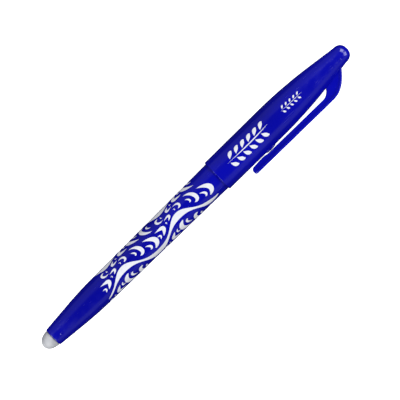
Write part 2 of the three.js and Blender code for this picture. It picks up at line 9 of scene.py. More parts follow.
# %% [markdown]
# ## Getting ready
#
# Every piece made here but the clip rides on one of its bodies, so that the cap still pulls off.

import math

import bpy
import numpy as np
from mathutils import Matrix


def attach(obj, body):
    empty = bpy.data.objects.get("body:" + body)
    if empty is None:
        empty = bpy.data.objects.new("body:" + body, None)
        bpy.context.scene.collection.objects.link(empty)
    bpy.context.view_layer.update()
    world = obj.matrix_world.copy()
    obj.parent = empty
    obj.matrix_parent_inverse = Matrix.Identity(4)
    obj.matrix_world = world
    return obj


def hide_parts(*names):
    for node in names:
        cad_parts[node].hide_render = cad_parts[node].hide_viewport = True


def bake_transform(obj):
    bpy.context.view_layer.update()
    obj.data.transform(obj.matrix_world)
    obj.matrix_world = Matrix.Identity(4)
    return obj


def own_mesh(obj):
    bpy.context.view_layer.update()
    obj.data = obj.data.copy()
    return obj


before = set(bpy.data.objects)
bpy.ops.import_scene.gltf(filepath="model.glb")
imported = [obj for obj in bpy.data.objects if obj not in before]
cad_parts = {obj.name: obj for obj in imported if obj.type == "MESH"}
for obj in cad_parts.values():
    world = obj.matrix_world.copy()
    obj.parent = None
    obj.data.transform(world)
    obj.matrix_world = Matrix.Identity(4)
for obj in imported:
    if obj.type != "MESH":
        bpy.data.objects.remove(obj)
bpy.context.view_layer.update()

# %% [markdown]
# ## Where things are
#
# Lengths along the pen are counted in millimetres from the tip of the eraser, and called
# stations. The whole pen is 142 mm long and centred on the origin. The axis of the pen is a
# little to one side, because the clip sticks out on the other side, and one cap radius above
# the floor, because the cap is the widest round part. The ink on the cap is the outermost thing
# of all, so the plastic under it is smaller by the depth of the ink.

# %% Stations and the pen's axis
MM = 0.001
LENGTH = 142.0
INK_DEPTH = 0.012
AXIS_Z = 6.07
CAP_R = AXIS_Z - INK_DEPTH
CLIP_REACH = 9.2
AXIS_Y = (CLIP_REACH - AXIS_Z) / 2


def x_at(station):
    return (station - LENGTH / 2) * MM


print("the axis is at y", AXIS_Y, "and z", AXIS_Z, "mm")

# %% [markdown]
# ## A notation for nodes
#
# A node tree is easier to read when its sums look like sums. `Wire` stands for one output of a
# node. Adding two wires makes a Math node and links it, so `1 - mask` or `radius * angle` can be
# written as they are. The table `MATHS` says which operation each sign or name stands for.
# `Graph.node` makes any other node from its type, its settings, and the values or wires that go
# into it.


# %% Wires and graphs
class Wire:
    def __init__(self, graph, socket):
        self.graph, self.socket = graph, socket

    def rise(self, low, high, start=0.0, end=1.0):
        """From `start` to `end`, smoothly, while this wire goes from `low` to `high`."""
        inputs = {"Value": self, 1: low, 2: high, 3: start, 4: end}
        return self.graph.node("ShaderNodeMapRange", {"interpolation_type": "SMOOTHSTEP"}, inputs)

    def parts(self):
        """The three numbers of a vector."""
        x = self.graph.node("ShaderNodeSeparateXYZ", {}, {0: self})
        return x, x.output(1), x.output(2)

    def output(self, which):
        return Wire(self.graph, self.socket.node.outputs[which])


def maths(operation, swapped=False):
    def method(self, other=0.0):
        first, second = (other, self) if swapped else (self, other)
        return self.graph.node("ShaderNodeMath", {"operation": operation}, {0: first, 1: second})

    return method


MATHS = {
    "__add__": "ADD", "__sub__": "SUBTRACT", "__mul__": "MULTIPLY", "__truediv__": "DIVIDE",
    "__pow__": "POWER", "less_than": "LESS_THAN", "more_than": "GREATER_THAN",
    "least": "MINIMUM", "most": "MAXIMUM", "floor": "FLOOR", "sin": "SINE", "cos": "COSINE",
}
for name, operation in MATHS.items():
    setattr(Wire, name, maths(operation))
for name in ("add", "sub", "mul"):
    setattr(Wire, f"__r{name}__", maths(MATHS[f"__{name}__"], swapped=True))


class Graph:
    def __init__(self, tree):
        self.tree = tree

    def node(self, kind, settings, inputs, output=0):
        node = self.tree.nodes.new(kind)
        for name, value in settings.items():
            setattr(node, name, value)
        for name, value in inputs.items():
            if isinstance(value, Wire):
                self.tree.links.new(value.socket, node.inputs[name])
            else:
                node.inputs[name].default_value = value
        return Wire(self, node.outputs[output] if node.outputs else None)

    def vector(self, x, y, z):
        return self.node("ShaderNodeCombineXYZ", {}, {0: x, 1: y, 2: z})


print("a wire can be added, multiplied, raised and eased")

# %% [markdown]
# ## A Geometry Nodes tree with named inputs
#
# Each tree has a geometry input, some named sizes, and a geometry output. `finish_tree` ends the
# tree in the same way each time: instances are made real and the material is set.


# %% Start and finish a geometry tree
def new_tree(name, sizes):
    tree = bpy.data.node_groups.new(name, "GeometryNodeTree")
    tree.interface.new_socket("Drawing", in_out="INPUT", socket_type="NodeSocketGeometry")
    for size, (kind, value) in sizes.items():
        socket = tree.interface.new_socket(size, in_out="INPUT", socket_type="NodeSocket" + kind)
        socket.default_value = value
    tree.interface.new_socket("Material", in_out="INPUT", socket_type="NodeSocketMaterial")
    tree.interface.new_socket("Piece", in_out="OUTPUT", socket_type="NodeSocketGeometry")
    graph = Graph(tree)
    first = graph.node("NodeGroupInput", {}, {})
    return graph, {s.name: first.output(s.name) for s in first.socket.node.outputs if s.name}


def finish_tree(graph, geometry, material):
    real = graph.node("GeometryNodeRealizeInstances", {}, {0: geometry})
    painted = graph.node("GeometryNodeSetMaterial", {}, {"Geometry": real, "Material": material})
    graph.node("NodeGroupOutput", {}, {0: painted})
    return graph.tree


def soft_shade(graph, geometry, sharpest):
    """Smooth shading, broken at every edge that bends more than `sharpest`, in radians."""
    inputs = {"Geometry": geometry, "Shade Smooth": True}
    smooth = graph.node("GeometryNodeSetShadeSmooth", {}, inputs)
    hard = graph.node("GeometryNodeInputMeshEdgeAngle", {}, {}).more_than(sharpest)
    inputs = {"Geometry": smooth, "Selection": hard, "Shade Smooth": False}
    return graph.node("GeometryNodeSetShadeSmooth", {"domain": "EDGE"}, inputs)


print("trees start from a drawing and end in a painted piece")

# %% [markdown]
# ## The lathe
#
# A turned piece is one outline carried round an axis. The outline is drawn as the object's own
# mesh: a chain of points whose X is the distance along the pen and whose Y is the radius. The
# tree lays a grid, with one row for each facet and one column for each point of the outline, and
# then moves every grid point to its place: X as drawn, Y and Z on a circle.
#
# With a pitch, each turn also climbs along the pen, which makes a screw thread or a spring. The
# run-out then lets the ridge grow from nothing at each end.
#
# Points that fall on each other are merged, which closes the last facet on the first, and the
# edges that this leaves along the axis are deleted.

# %% The turned tree
TINY = MM / 1000
SQUARED_AXIS_GAP = 1e-13


def turned_tree():
    sizes = {"Facets": ("Int", 128), "Turns": ("Float", 1.0)}
    sizes |= {key: ("Float", 0.0) for key in ("Pitch", "Run-out", "Foot station", "Foot radius")}
    sizes["Sharpest bend"] = ("Float", math.radians(34))
    graph, given = new_tree("Turned piece", sizes)
    count = graph.node("GeometryNodeAttributeDomainSize", {}, {0: given["Drawing"]})
    rows = given["Facets"] + 1
    grid = graph.node("GeometryNodeMeshGrid", {}, {"Vertices X": rows, "Vertices Y": count})
    index = graph.node("GeometryNodeInputIndex", {}, {})
    row = ((index + 0.5) / count).floor()
    position = graph.node("GeometryNodeInputPosition", {}, {})
    settings = {"data_type": "FLOAT_VECTOR"}
    inputs = {"Geometry": given["Drawing"], "Value": position, "Index": index - row * count}
    station, radius, _ = graph.node("GeometryNodeSampleIndex", settings, inputs).parts()
    turn = row / given["Facets"] * given["Turns"]
    whole = given["Run-out"].less_than(TINY)
    to_end = turn.least(given["Turns"] - turn) / given["Run-out"].most(TINY)
    risen = (to_end + whole).least(1.0)
    along = given["Foot station"] + (station - given["Foot station"]) * risen + given["Pitch"] * turn
    out = given["Foot radius"] + (radius - given["Foot radius"]) * risen
    angle = turn * (2 * math.pi)
    place = graph.vector(along, AXIS_Y * MM + out * angle.cos(), AXIS_Z * MM + out * angle.sin())
    moved = graph.node("GeometryNodeSetPosition", {}, {"Geometry": grid, "Position": place})
    inputs = {"Geometry": moved, "Distance": TINY / 2}
    closed = graph.node("GeometryNodeMergeByDistance", {}, inputs)
    _, y, z = position.parts()
    from_axis = (y - AXIS_Y * MM) ** 2.0 + (z - AXIS_Z * MM) ** 2.0
    settings = {"domain": "EDGE", "mode": "ALL"}
    inputs = {"Geometry": closed, "Selection": from_axis.less_than(SQUARED_AXIS_GAP)}
    clean = graph.node("GeometryNodeDeleteGeometry", settings, inputs)
    shaded = soft_shade(graph, clean, given["Sharpest bend"])
    return finish_tree(graph, shaded, given["Material"])


TURNED = turned_tree()
print("the lathe's inputs:", [item.name for item in TURNED.interface.items_tree])

# %% [markdown]
# ## From drawing to piece
#
# `grown` gives a drawing its modifier, sets the inputs by their identifiers, and lets Blender
# evaluate it once. The result is kept as a plain mesh. `ready` then puts the piece on the body that
# it rides on and hides the engineering pieces that it takes the place of.


# %% Turn a drawing into a piece
def in_scene(name, data):
    obj = bpy.data.objects.new(name, data)
    bpy.context.scene.collection.objects.link(obj)
    return obj


def drawing(name, points, edges, **attributes):
    mesh = bpy.data.meshes.new(name)
    mesh.from_pydata(points, edges, [])
    for key, values in attributes.items():
        mesh.attributes.new(key, "FLOAT", "POINT").data.foreach_set("value", values)
    return in_scene(name, mesh)


def grown(obj, tree, **sizes):
    modifier = obj.modifiers.new("grow", "NODES")
    modifier.node_group = tree
    for item in tree.interface.items_tree:
        if item.in_out == "INPUT" and item.name in sizes:
            modifier[item.identifier] = sizes[item.name]
    evaluated = obj.evaluated_get(bpy.context.evaluated_depsgraph_get())
    mesh = bpy.data.meshes.new_from_object(evaluated)
    obj.modifiers.clear()
    obj.data = mesh
    return obj


def ready(obj, slot, body, *instead_of):
    if body:
        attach(obj, body)
    if instead_of:
        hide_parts(*instead_of)
    triangles = sum(len(face.vertices) - 2 for face in obj.data.polygons)
    print(f"{obj.name}: {triangles} triangles")


# %% [markdown]
# ## Drawing an outline
#
# An outline is a list of corners, each a station and a radius in millimetres. A corner with a
# third number is rounded: that much is cut from both of its sides and a curve is put in. Real
# mouldings have no sharp corner, and it is the thin bright line on a rounded edge that makes a
# piece look solid.


# %% Rounded outlines and turned pieces
def curve(start, corner, end, steps):
    t = np.linspace(0, 1, steps + 1)[:, None]
    start, corner, end = (np.array(point[:2], float) for point in (start, corner, end))
    return (1 - t) ** 2 * start + 2 * t * (1 - t) * corner + t**2 * end


def rounded(corners, steps=4):
    points = []
    for i, corner in enumerate(corners):
        here = np.array(corner[:2], float)
        if len(corner) == 2:
            points.append(here)
            continue
        cuts = []
        for other in (corners[i - 1], corners[i + 1]):
            way = np.array(other[:2], float) - here
            cuts.append(here + way / np.hypot(*way) * corner[2])
        points.extend(curve(cuts[0], here, cuts[1], steps))
    return np.array(points)


def turned(name, outline, material, facets=128, **sizes):
    outline = np.array(outline, float)
    points = [(x_at(station), radius * MM, 0) for station, radius in outline]
    edges = [(i, i + 1) for i in range(len(points) - 1)]
    drawn = drawing(name, points, edges)
    return grown(drawn, TURNED, Facets=facets, Material=material, **sizes)


def turned_piece(name, outline, material, slot, body, facets=128):
    """A turned piece in the place of the engineering piece that has its name."""
    ready(turned(name, outline, material, facets), slot, body, name)


print("a rounded corner:", rounded([(0, 0), (1, 0, 0.3), (1, 1)], 2).round(2).tolist())

# %% [markdown]
# ## Materials
#
# Every material starts in the same way: a Principled shader, with the object's own coordinates
# in millimetres to place its detail. `noise` is the basic ingredient. What never changes over
# the surface is set on the shader directly, and what does change is linked.


# %% Material helpers
class Finish(Graph):
    def __init__(self, name, **constants):
        self.material = bpy.data.materials.new(name)
        self.material.use_nodes = True
        super().__init__(self.material.node_tree)
        self.shader = self.tree.nodes["Principled BSDF"]
        for key, value in constants.items():
            self.shader.inputs[key.replace("_", " ")].default_value = value
        place = self.node("ShaderNodeTexCoord", {}, {}, "Object")
        settings = {"operation": "SCALE"}
        self.place = self.node("ShaderNodeVectorMath", settings, {0: place, "Scale": 1 / MM})

    def noise(self, scale, detail=3.0, stretch=(1.0, 1.0, 1.0)):
        inputs = {0: self.place, 1: stretch}
        place = self.node("ShaderNodeVectorMath", {"operation": "MULTIPLY"}, inputs)
        inputs = {"Vector": place, "Scale": scale, "Detail": detail}
        return self.node("ShaderNodeTexNoise", {}, inputs)

    def blend(self, share, first, second):
        settings = {"data_type": "RGBA"}
        inputs = {"Factor": share, 6: self.colour(first), 7: self.colour(second)}
        return self.node("ShaderNodeMix", settings, inputs, 2)

    def colour(self, value):
        return value if isinstance(value, Wire) else (*value, 1.0)

    def set(self, **wires):
        for key, wire in wires.items():
            self.tree.links.new(wire.socket, self.shader.inputs[key.replace("_", " ")])
        return self.material

    def solid(self, colour, rough, height, depth, **more):
        """Colour, roughness, and a bump `depth` millimetres high where `height` is 1."""
        inputs = {"Height": height, "Distance": depth * MM, "Strength": 1.0}
        bump = self.node("ShaderNodeBump", {}, inputs)
        return self.set(Base_Color=colour, Roughness=rough, Normal=bump, **more)


print("finishes are placed in millimetres")

# %% [markdown]
# ## Glossy blue plastic
#
# The barrel, the cap and the clip are moulded in one deep blue, polished plastic. Up close such
# plastic is not even. The colour is a little deeper where the melt flowed more slowly, the gloss
# is broken by a haze of handling and by hair-fine scratches that run mostly along the pen, and
# the surface has a very shallow waviness. Each of these is a noise of its own size.


# %% Glossy blue plastic
def blue_plastic(name, deep, bright, smoothest, roughest):
    finish = Finish(name, IOR=1.49, Coat_Roughness=0.14)
    flow = finish.noise(0.05, 2.0, (0.4, 1.0, 1.0))
    colour = finish.blend(flow.rise(0.3, 0.7), deep, bright)
    haze = finish.noise(0.35, 4.0).rise(0.35, 0.75)
    scratch = finish.noise(3.0, 2.0, (0.05, 1.0, 1.0)).rise(0.66, 0.72)
    rough = smoothest + (roughest - smoothest) * haze + 0.12 * scratch
    wave = finish.noise(0.8, 2.0)
    coat = 0.25 - 0.15 * haze
    return finish.solid(colour, rough, wave + scratch * -0.15, 0.004, Coat_Weight=coat)


BLUE_GLOSS = blue_plastic("Glossy blue", (0.0008, 0.0012, 0.23), (0.0014, 0.0022, 0.36), 0.14, 0.26)
BLUE_SATIN = blue_plastic("Satin blue", (0.006, 0.010, 0.24), (0.009, 0.015, 0.30), 0.34, 0.46)
print("blue plastics:", BLUE_GLOSS.name, "and", BLUE_SATIN.name)

# %% [markdown]
# ## Rubber, print, and the pale plastics
#
# The eraser is a pale, slightly see-through rubber: light enters it and comes out nearby, which
# is what subsurface scattering does. The grip is a dull blue rubber with a fine grain. The print
# is silver-white ink with a little metal in it, thinner in places, so that some blue shows
# through. The refill and the inner cap are milky plastic.


# %% Rubber, print and pale plastics
def eraser_rubber():
    finish = Finish("Eraser rubber", IOR=1.5, Subsurface_Weight=0.35, Subsurface_Scale=0.0012)
    finish.shader.inputs["Subsurface Radius"].default_value = (1.0, 0.95, 0.9)
    cloud = finish.noise(0.35, 3.0)
    speck = finish.noise(5.0, 1.0).rise(0.68, 0.74)
    colour = finish.blend(cloud.rise(0.3, 0.7), (0.33, 0.34, 0.37), (0.44, 0.45, 0.47))
    colour = finish.blend(speck * 0.4, colour, (0.25, 0.25, 0.28))
    return finish.solid(colour, 0.42 + 0.2 * cloud, cloud + speck * 0.3, 0.02)


def grip_rubber():
    finish = Finish("Grip rubber", IOR=1.5)
    grain = finish.noise(6.0, 2.0)
    worn = finish.noise(0.3, 3.0).rise(0.4, 0.7)
    colour = finish.blend(worn * 0.5, (0.006, 0.012, 0.20), (0.02, 0.03, 0.27))
    return finish.solid(colour, 0.88 - 0.25 * worn, grain, 0.02)


def silver_ink():
    finish = Finish("Silver ink", IOR=1.5)
    cloud = finish.noise(0.5, 4.0)
    grain = finish.noise(9.0, 1.0)
    thin = (cloud * 0.6 + grain * 0.4).rise(0.52, 0.75)
    colour = finish.blend(thin * 0.35, (0.68, 0.69, 0.74), (0.25, 0.27, 0.55))
    rough = 0.34 + 0.2 * grain
    return finish.set(Base_Color=colour, Roughness=rough, Metallic=0.06 - 0.04 * thin)


def milky_plastic():
    finish = Finish("Milky plastic", IOR=1.5, Subsurface_Weight=0.3, Subsurface_Scale=0.001)
    flow = finish.noise(0.25, 2.0, (0.3, 1.0, 1.0))
    colour = finish.blend(flow.rise(0.3, 0.7), (0.52, 0.55, 0.57), (0.62, 0.64, 0.65))
    return finish.solid(colour, 0.35 + 0.15 * flow, flow, 0.01)


ERASER_RUBBER = eraser_rubber()
GRIP_RUBBER = grip_rubber()
SILVER_INK = silver_ink()
MILKY = milky_plastic()
print("rubbers:", ERASER_RUBBER.name, "and", GRIP_RUBBER.name)
print("print and pale plastic:", SILVER_INK.name, "and", MILKY.name)

# %% [markdown]
# ## Ink, grease, steel and carbide
#
# These are the small inner materials. The turned steel carries fine rings left by the cutting
# tool: a wave that runs along the pen and tilts the surface a little. The carbide ball is
# ground, so it is smoother and darker.


# %% Ink and metals
def liquid(name, deep, bright, rough):
    finish = Finish(name, IOR=1.45)
    swirl = finish.noise(0.6, 3.0)
    colour = finish.blend(swirl.rise(0.35, 0.65), deep, bright)
    return finish.set(Base_Color=colour, Roughness=rough + 0.1 * swirl)


def turned_metal(name, dark, light, rough, rings):
    finish = Finish(name, IOR=2.4, Metallic=1.0)
    along, _, _ = finish.place.parts()
    ring = (along * (2 * math.pi / rings)).sin() * 0.5 + 0.5
    stain = finish.noise(1.5, 3.0)
    colour = finish.blend(stain.rise(0.35, 0.7), dark, light)
    return finish.solid(colour, rough + 0.1 * stain, ring, 0.0015)


INK = liquid("Blue ink", (0.003, 0.006, 0.15), (0.006, 0.012, 0.22), 0.18)
GREASE = liquid("Grease", (0.55, 0.48, 0.30), (0.66, 0.60, 0.42), 0.25)
STEEL = turned_metal("Turned steel", (0.50, 0.50, 0.51), (0.66, 0.66, 0.67), 0.2, 0.12)
CARBIDE = turned_metal("Ground carbide", (0.22, 0.22, 0.23), (0.32, 0.32, 0.33), 0.12, 0.05)
print("inner finishes:", INK.name, GREASE.name, STEEL.name, CARBIDE.name)

# %% [markdown]
# ## The barrel
#
# The barrel is a hollow moulding. From its tail it widens as a short cone, rounds over at a
# waist, and then widens very slowly to the cap. Its inside has a socket for the eraser's stem, a
# ledge and a cup for the refill's tail, and a wide bore. The outline goes round the whole wall,
# outside first, and ends where it started, so that the piece is closed.

# %% Barrel
TAIL, WAIST, FRONT = 4.4, 21.4, 82.0
TAIL_R, WAIST_R, FRONT_R = 3.4, 4.93, 5.5
THREAD_REAR, THREAD_ROOT_R = 75.6, 4.68
LEDGE, CUP_FRONT, BORE_REAR = 17.9, 19.9, 27.9
STEM_SOCKET_R, CUP_R, BORE_R = 2.48, 3.15, 4.09

barrel_wall = rounded([
    (TAIL, STEM_SOCKET_R), (TAIL, TAIL_R, 0.3), (WAIST, WAIST_R, 6.0),
    (FRONT, FRONT_R, 0.12), (FRONT, THREAD_ROOT_R, 0.12), (THREAD_REAR - 0.1, THREAD_ROOT_R),
    (THREAD_REAR - 0.1, BORE_R), (BORE_REAR, BORE_R, 0.6), (CUP_FRONT, CUP_R, 0.6),
    (LEDGE, CUP_R), (LEDGE, STEM_SOCKET_R), (TAIL, STEM_SOCKET_R),
], 8)
turned_piece("barrel", barrel_wall, BLUE_GLOSS, "blue_gloss", "barrel")

# %% [markdown]
# ## The screw thread
#
# The grip section screws into the barrel's front. Both threads come from the lathe tree, given a
# pitch of 1.5 mm. Their outline is the cross-section of the ridge: narrow at its crest and wide
# at its root. The ridge on the section points outwards. The one in the barrel points inwards and
# fills the room between its neighbour's turns, so it starts half a turn later.


# %% Threads
PITCH = 1.5


def ridge(name, foot_r, crest_r, root_half, crest_half, start, turns, material):
    outline = [
        (start - root_half, foot_r),
        (start - crest_half, crest_r),
        (start + crest_half, crest_r),
        (start + root_half, foot_r),
        (start - root_half, foot_r),
    ]
    if crest_r < foot_r:
        outline.reverse()
    sizes = {"Turns": float(turns), "Pitch": PITCH * MM, "Run-out": 0.35}
    sizes |= {"Foot station": x_at(start), "Foot radius": foot_r * MM}
    return turned(name, outline, material, 96 * turns, **sizes)


inner_thread = ridge("barrel_thread", 4.70, 4.30, 0.45, 0.25, THREAD_REAR + 1.75, 3, BLUE_GLOSS)
ready(inner_thread, "blue_gloss", "barrel")
section_thread = ridge("section_thread", 4.18, 4.58, 0.42, 0.22, THREAD_REAR + 1, 3, BLUE_SATIN)
ready(section_thread, "blue_satin", "section")

# %% [markdown]
# ## The eraser
#
# The eraser is a soft rubber dome on a stem. The dome swells a little just past the barrel's
# tail, as squeezed rubber does, and its tip is rounder than half a ball. The stem has a barb at
# its end that holds it in the barrel.

# %% Eraser
SHOULDER, DOME_R, STEM_R, BARB_R, STEM_END = 4.3, 3.1, 2.3, 2.4, 12.4
turns = np.linspace(0, math.pi / 2, 25)[:-1]
dome = [
    (SHOULDER - SHOULDER * math.cos(turn) ** 0.95, DOME_R * math.sin(turn) ** 0.93) for turn in turns
]
stem = rounded([
    (SHOULDER - 0.4, DOME_R), (SHOULDER, DOME_R, 0.15), (SHOULDER, STEM_R),
    (STEM_END - 1.2, STEM_R), (STEM_END - 0.6, BARB_R, 0.2), (STEM_END, 1.7), (STEM_END, 0),
])
eraser_outline = [*dome, *stem.tolist()]
turned_piece("eraser", eraser_outline, ERASER_RUBBER, "eraser_rubber", "barrel")

# %% [markdown]
# ## The print
#
# A silver-white pattern of waves and curled crests is printed round the barrel. It is drawn flat
# first, with the distance along the pen as X and the way round it as Y, in millimetres. Every
# shape is one stroke: rows of X, Y and half the stroke's width, along its centre line.
#
# Three waves run along the pen, each a third of a turn from the next. Between two waves there
# is an eye-shaped pocket. Five crests stand in it, side by side, each a hook that curls over a
# smaller one. The same five, turned half round about the pocket's middle, fill its other side.
# A crest's height is a share of the room between the pocket's middle line and the wave, so it
# grows where the pocket is wide and stays clear of the wave.

# %% Strokes of the pattern
PRINT_REAR, PRINT_FRONT = 26.7, 77.5
GIRTH, WAVES, REPEAT = 33.0, 3, 25.4
WAVE_HEIGHT, WAVE_HALF, WAVE_SWELL = 2.5, 0.74, 0.38
CRESTS, CURL, MARGIN = 5, math.radians(150), 1.55
LARGE_SPAN, SMALL_SPAN = (0.14, 0.88), (0.48, 0.78)
THINNEST = 0.012


def tapered(half, share):
    """Half-widths of a stroke that is widest a little past its middle and thin at both ends."""
    return (half * np.sin(math.pi * share**1.27) ** 0.8).clip(THINNEST)


def wave(lane, length):
    x = np.linspace(0, length, 200)
    phase = 2 * math.pi * (x / REPEAT + lane / WAVES)
    fade = np.minimum(x, length - x).clip(0, 6) / 6
    half = (WAVE_HALF - WAVE_SWELL * np.cos(2 * phase)) * fade**0.6
    y = GIRTH * lane / WAVES + WAVE_HEIGHT * np.sin(phase)
    return np.stack([x, y, half.clip(THINNEST)], axis=1)


def room(x):
    """From a pocket's middle line to the edge of the wave, `x` from the pocket's middle."""
    opening = WAVE_HEIGHT * math.sin(math.pi / WAVES) * np.cos(2 * math.pi * x / REPEAT)
    return GIRTH / WAVES / 2 + opening - MARGIN


def crest(start, reach, span, half, steps=36):
    """A hook that rises from the first to the second share of the room given in `span`."""
    share = np.linspace(0, 1, steps)
    x = start + reach * np.sin(CURL * share)
    rise = (1 - np.cos(CURL * share)) / (1 - math.cos(CURL))
    middle = WAVE_HEIGHT * math.cos(math.pi / WAVES) * np.sin(2 * math.pi * x / REPEAT)
    y = middle + room(x) * (span[0] + (span[1] - span[0]) * rise)
    return np.stack([x, y, tapered(half, share)], axis=1)


def crests_at(start):
    """A large crest, the small one under it, and both again turned half round."""
    tall = room(start)
    large = crest(start, 1.6 + 0.36 * tall, LARGE_SPAN, 0.12 * tall + 0.15)
    small = crest(start - 0.4, 0.27 * tall, SMALL_SPAN, 0.07 * tall)
    half_round = (-1, -1, 1)
    return large, small, large * half_round, small * half_round


def barrel_pattern(length):
    strokes = [wave(lane, length) for lane in range(WAVES)]
    starts = REPEAT * ((np.arange(CRESTS) + 0.5) / CRESTS - 0.5)
    for lane in range(WAVES):
        for pocket in range(-1, 4):
            middle = (REPEAT * (pocket + (0.5 - lane) / WAVES), GIRTH * (lane - 0.5) / WAVES, 0)
            for rows in (rows + middle for start in starts for rows in crests_at(start)):
                if rows[:, 0].min() > 0 and rows[:, 0].max() < length:
                    strokes.append(rows)
    return strokes


pattern = barrel_pattern(PRINT_FRONT - PRINT_REAR)
print("strokes in the pattern:", len(pattern))

# %% [markdown]
# ## From strokes to ink on a round surface
#
# The tree turns each centre line into a flat ribbon, by sweeping a short cross line along it and
# scaling that line by the stroke's width. The ribbon is extruded as one sheet, not face by face,
# to the thickness of a layer of ink, and closed underneath. Last, the flat sheet is rolled up:
# the way round becomes an angle, and the height becomes a radius. The surface below may swell or
# taper, so its radius is given at the rear, the middle and the front of the sheet, and a parabola
# through the three gives the rest.


# %% The print tree
def print_tree():
    sizes = {"Across": ("Int", 9), "Ink": ("Float", INK_DEPTH * MM), "Start": ("Float", 0.0)}
    sizes |= {"Length": ("Float", 0.05), "Girth": ("Float", GIRTH * MM)}
    sizes |= {f"{place} radius": ("Float", 0.005) for place in ("Rear", "Middle", "Front")}
    graph, given = new_tree("Print", sizes)
    line = graph.node("GeometryNodeMeshToCurve", {}, {0: given["Drawing"]})
    upright = graph.node("GeometryNodeSetCurveNormal", {"mode": "Z_UP"}, {"Curve": line})
    cross = graph.node("GeometryNodeCurvePrimitiveLine", {}, {"Start": (-1, 0, 0), "End": (1, 0, 0)})
    cross = graph.node("GeometryNodeResampleCurve", {}, {"Curve": cross, "Count": given["Across"]})
    half = graph.node("GeometryNodeInputNamedAttribute", {"data_type": "FLOAT"}, {"Name": "half"})
    inputs = {"Curve": upright, "Profile Curve": cross, "Scale": half}
    under = graph.node("GeometryNodeCurveToMesh", {}, inputs)
    inputs = {"Mesh": under, "Offset": graph.vector(0.0, 0.0, 1.0), "Offset Scale": given["Ink"]}
    inputs["Individual"] = False
    over = graph.node("GeometryNodeExtrudeMesh", {}, inputs)
    below = graph.node("GeometryNodeFlipFaces", {}, {0: under})
    both = graph.tree.nodes.new("GeometryNodeJoinGeometry")
    graph.tree.links.new(over.socket, both.inputs[0])
    graph.tree.links.new(below.socket, both.inputs[0])
    inputs = {"Geometry": Wire(graph, both.outputs[0]), "Distance": TINY / 5}
    closed = graph.node("GeometryNodeMergeByDistance", {}, inputs)
    x, y, height = graph.node("GeometryNodeInputPosition", {}, {}).parts()
    angle = y / given["Girth"] * (2 * math.pi)
    share = x / given["Length"]
    rear = given["Rear radius"] * (1 - share) * (1 - 2 * share)
    middle = given["Middle radius"] * 4 * share * (1 - share)
    out = rear + middle + given["Front radius"] * share * (2 * share - 1) + height
    place = graph.vector(
        given["Start"] + x, AXIS_Y * MM + out * angle.cos(), AXIS_Z * MM + out * angle.sin()
    )
    rolled = graph.node("GeometryNodeSetPosition", {}, {"Geometry": closed, "Position": place})
    return finish_tree(graph, soft_shade(graph, rolled, math.radians(60)), given["Material"])


PRINT = print_tree()
print("the print's inputs:", [item.name for item in PRINT.interface.items_tree])

# %% [markdown]
# ## Printing the barrel
#
# The barrel is a cone between its waist and its front, so three radii read from that cone are
# all that the print needs. `print_on` turns the strokes into a drawing and the drawing into ink.


# %% Barrel print
def barrel_r(station):
    return WAIST_R + (FRONT_R - WAIST_R) * (station - WAIST) / (FRONT - WAIST)


def print_on(name, strokes, span, girth, radius_at, across, body):
    points, edges, half = [], [], []
    for rows in strokes:
        edges += [(len(points) + i, len(points) + i + 1) for i in range(len(rows) - 1)]
        points += [(x * MM, y * MM, 0) for x, y, _ in rows]
        half += [width * MM for _, _, width in rows]
    start, end = span
    sizes = {"Across": across, "Start": x_at(start), "Length": (end - start) * MM}
    sizes |= {"Girth": girth * MM, "Material": SILVER_INK, "Rear radius": radius_at(start) * MM}
    sizes |= {"Middle radius": radius_at((start + end) / 2) * MM, "Front radius": radius_at(end) * MM}
    ready(grown(drawing(name, points, edges, half=half), PRINT, **sizes), "print_silver", body)


print_on("barrel_print", pattern, (PRINT_REAR, PRINT_FRONT), GIRTH, barrel_r, 9, "barrel")

# %% [markdown]
# ## The cap
#
# The cap is a tube whose mouth has a thin lip over the barrel's front. Past the middle it starts
# to taper, first along a parabola and then as a cone, and it ends in a squarish dome. The same
# curve moved in by the wall's thickness gives the inside, which ends in a thick end wall.

# %% Cap body
MOUTH, TAPER, CONE, DOME, END = 81.2, 106.0, 128.0, 138.4, LENGTH
CAP_BORE, LIP_R, CONE_R, SLOPE = 5.17, 5.65, 4.64, 0.13
CAP_WALL, BULGE = 0.9, 1 / 1.2


def cap_r(station):
    """The radius of the cap's outside, up to the dome."""
    share = min(max((station - TAPER) / (CONE - TAPER), 0), 1)
    return CAP_R - (CAP_R - CONE_R) * share**2 - SLOPE * max(station - CONE, 0)


def cap_line(start, end, inset, steps=24):
    return [(station, cap_r(station) - inset) for station in np.linspace(start, end, steps)]


quarter = np.linspace(0, math.pi / 2, 20)[1:-1]
cap_dome = [
    (DOME + (END - DOME) * math.sin(turn) ** BULGE, cap_r(DOME) * math.cos(turn) ** BULGE)
    for turn in quarter
]
lip = rounded([(MOUTH, LIP_R + 0.2), (MOUTH, CAP_R, 0.15), (TAPER, CAP_R)], 5)[:-1].tolist()
mouth = rounded([
    (TAPER, CAP_BORE), (FRONT + 0.1, CAP_BORE, 0.1), (FRONT + 0.1, LIP_R),
    (MOUTH, LIP_R, 0.12), (MOUTH, LIP_R + 0.2),
]).tolist()
cap_wall = [*lip, *cap_line(TAPER, DOME, 0), *cap_dome, (END, 0), (DOME, 0)]
cap_wall += cap_line(DOME, TAPER, CAP_WALL) + mouth[1:]
ready(turned("cap_body", cap_wall, BLUE_GLOSS), "blue_gloss", "cap", "cap_shell")

# %% [markdown]
# ## Mouldings that are not turned
#
# The clip and the bump under its tip are not round, so they are lofted: a row of closed rings
# is joined ring by ring into a skin, and the first and the last ring are closed with a face.


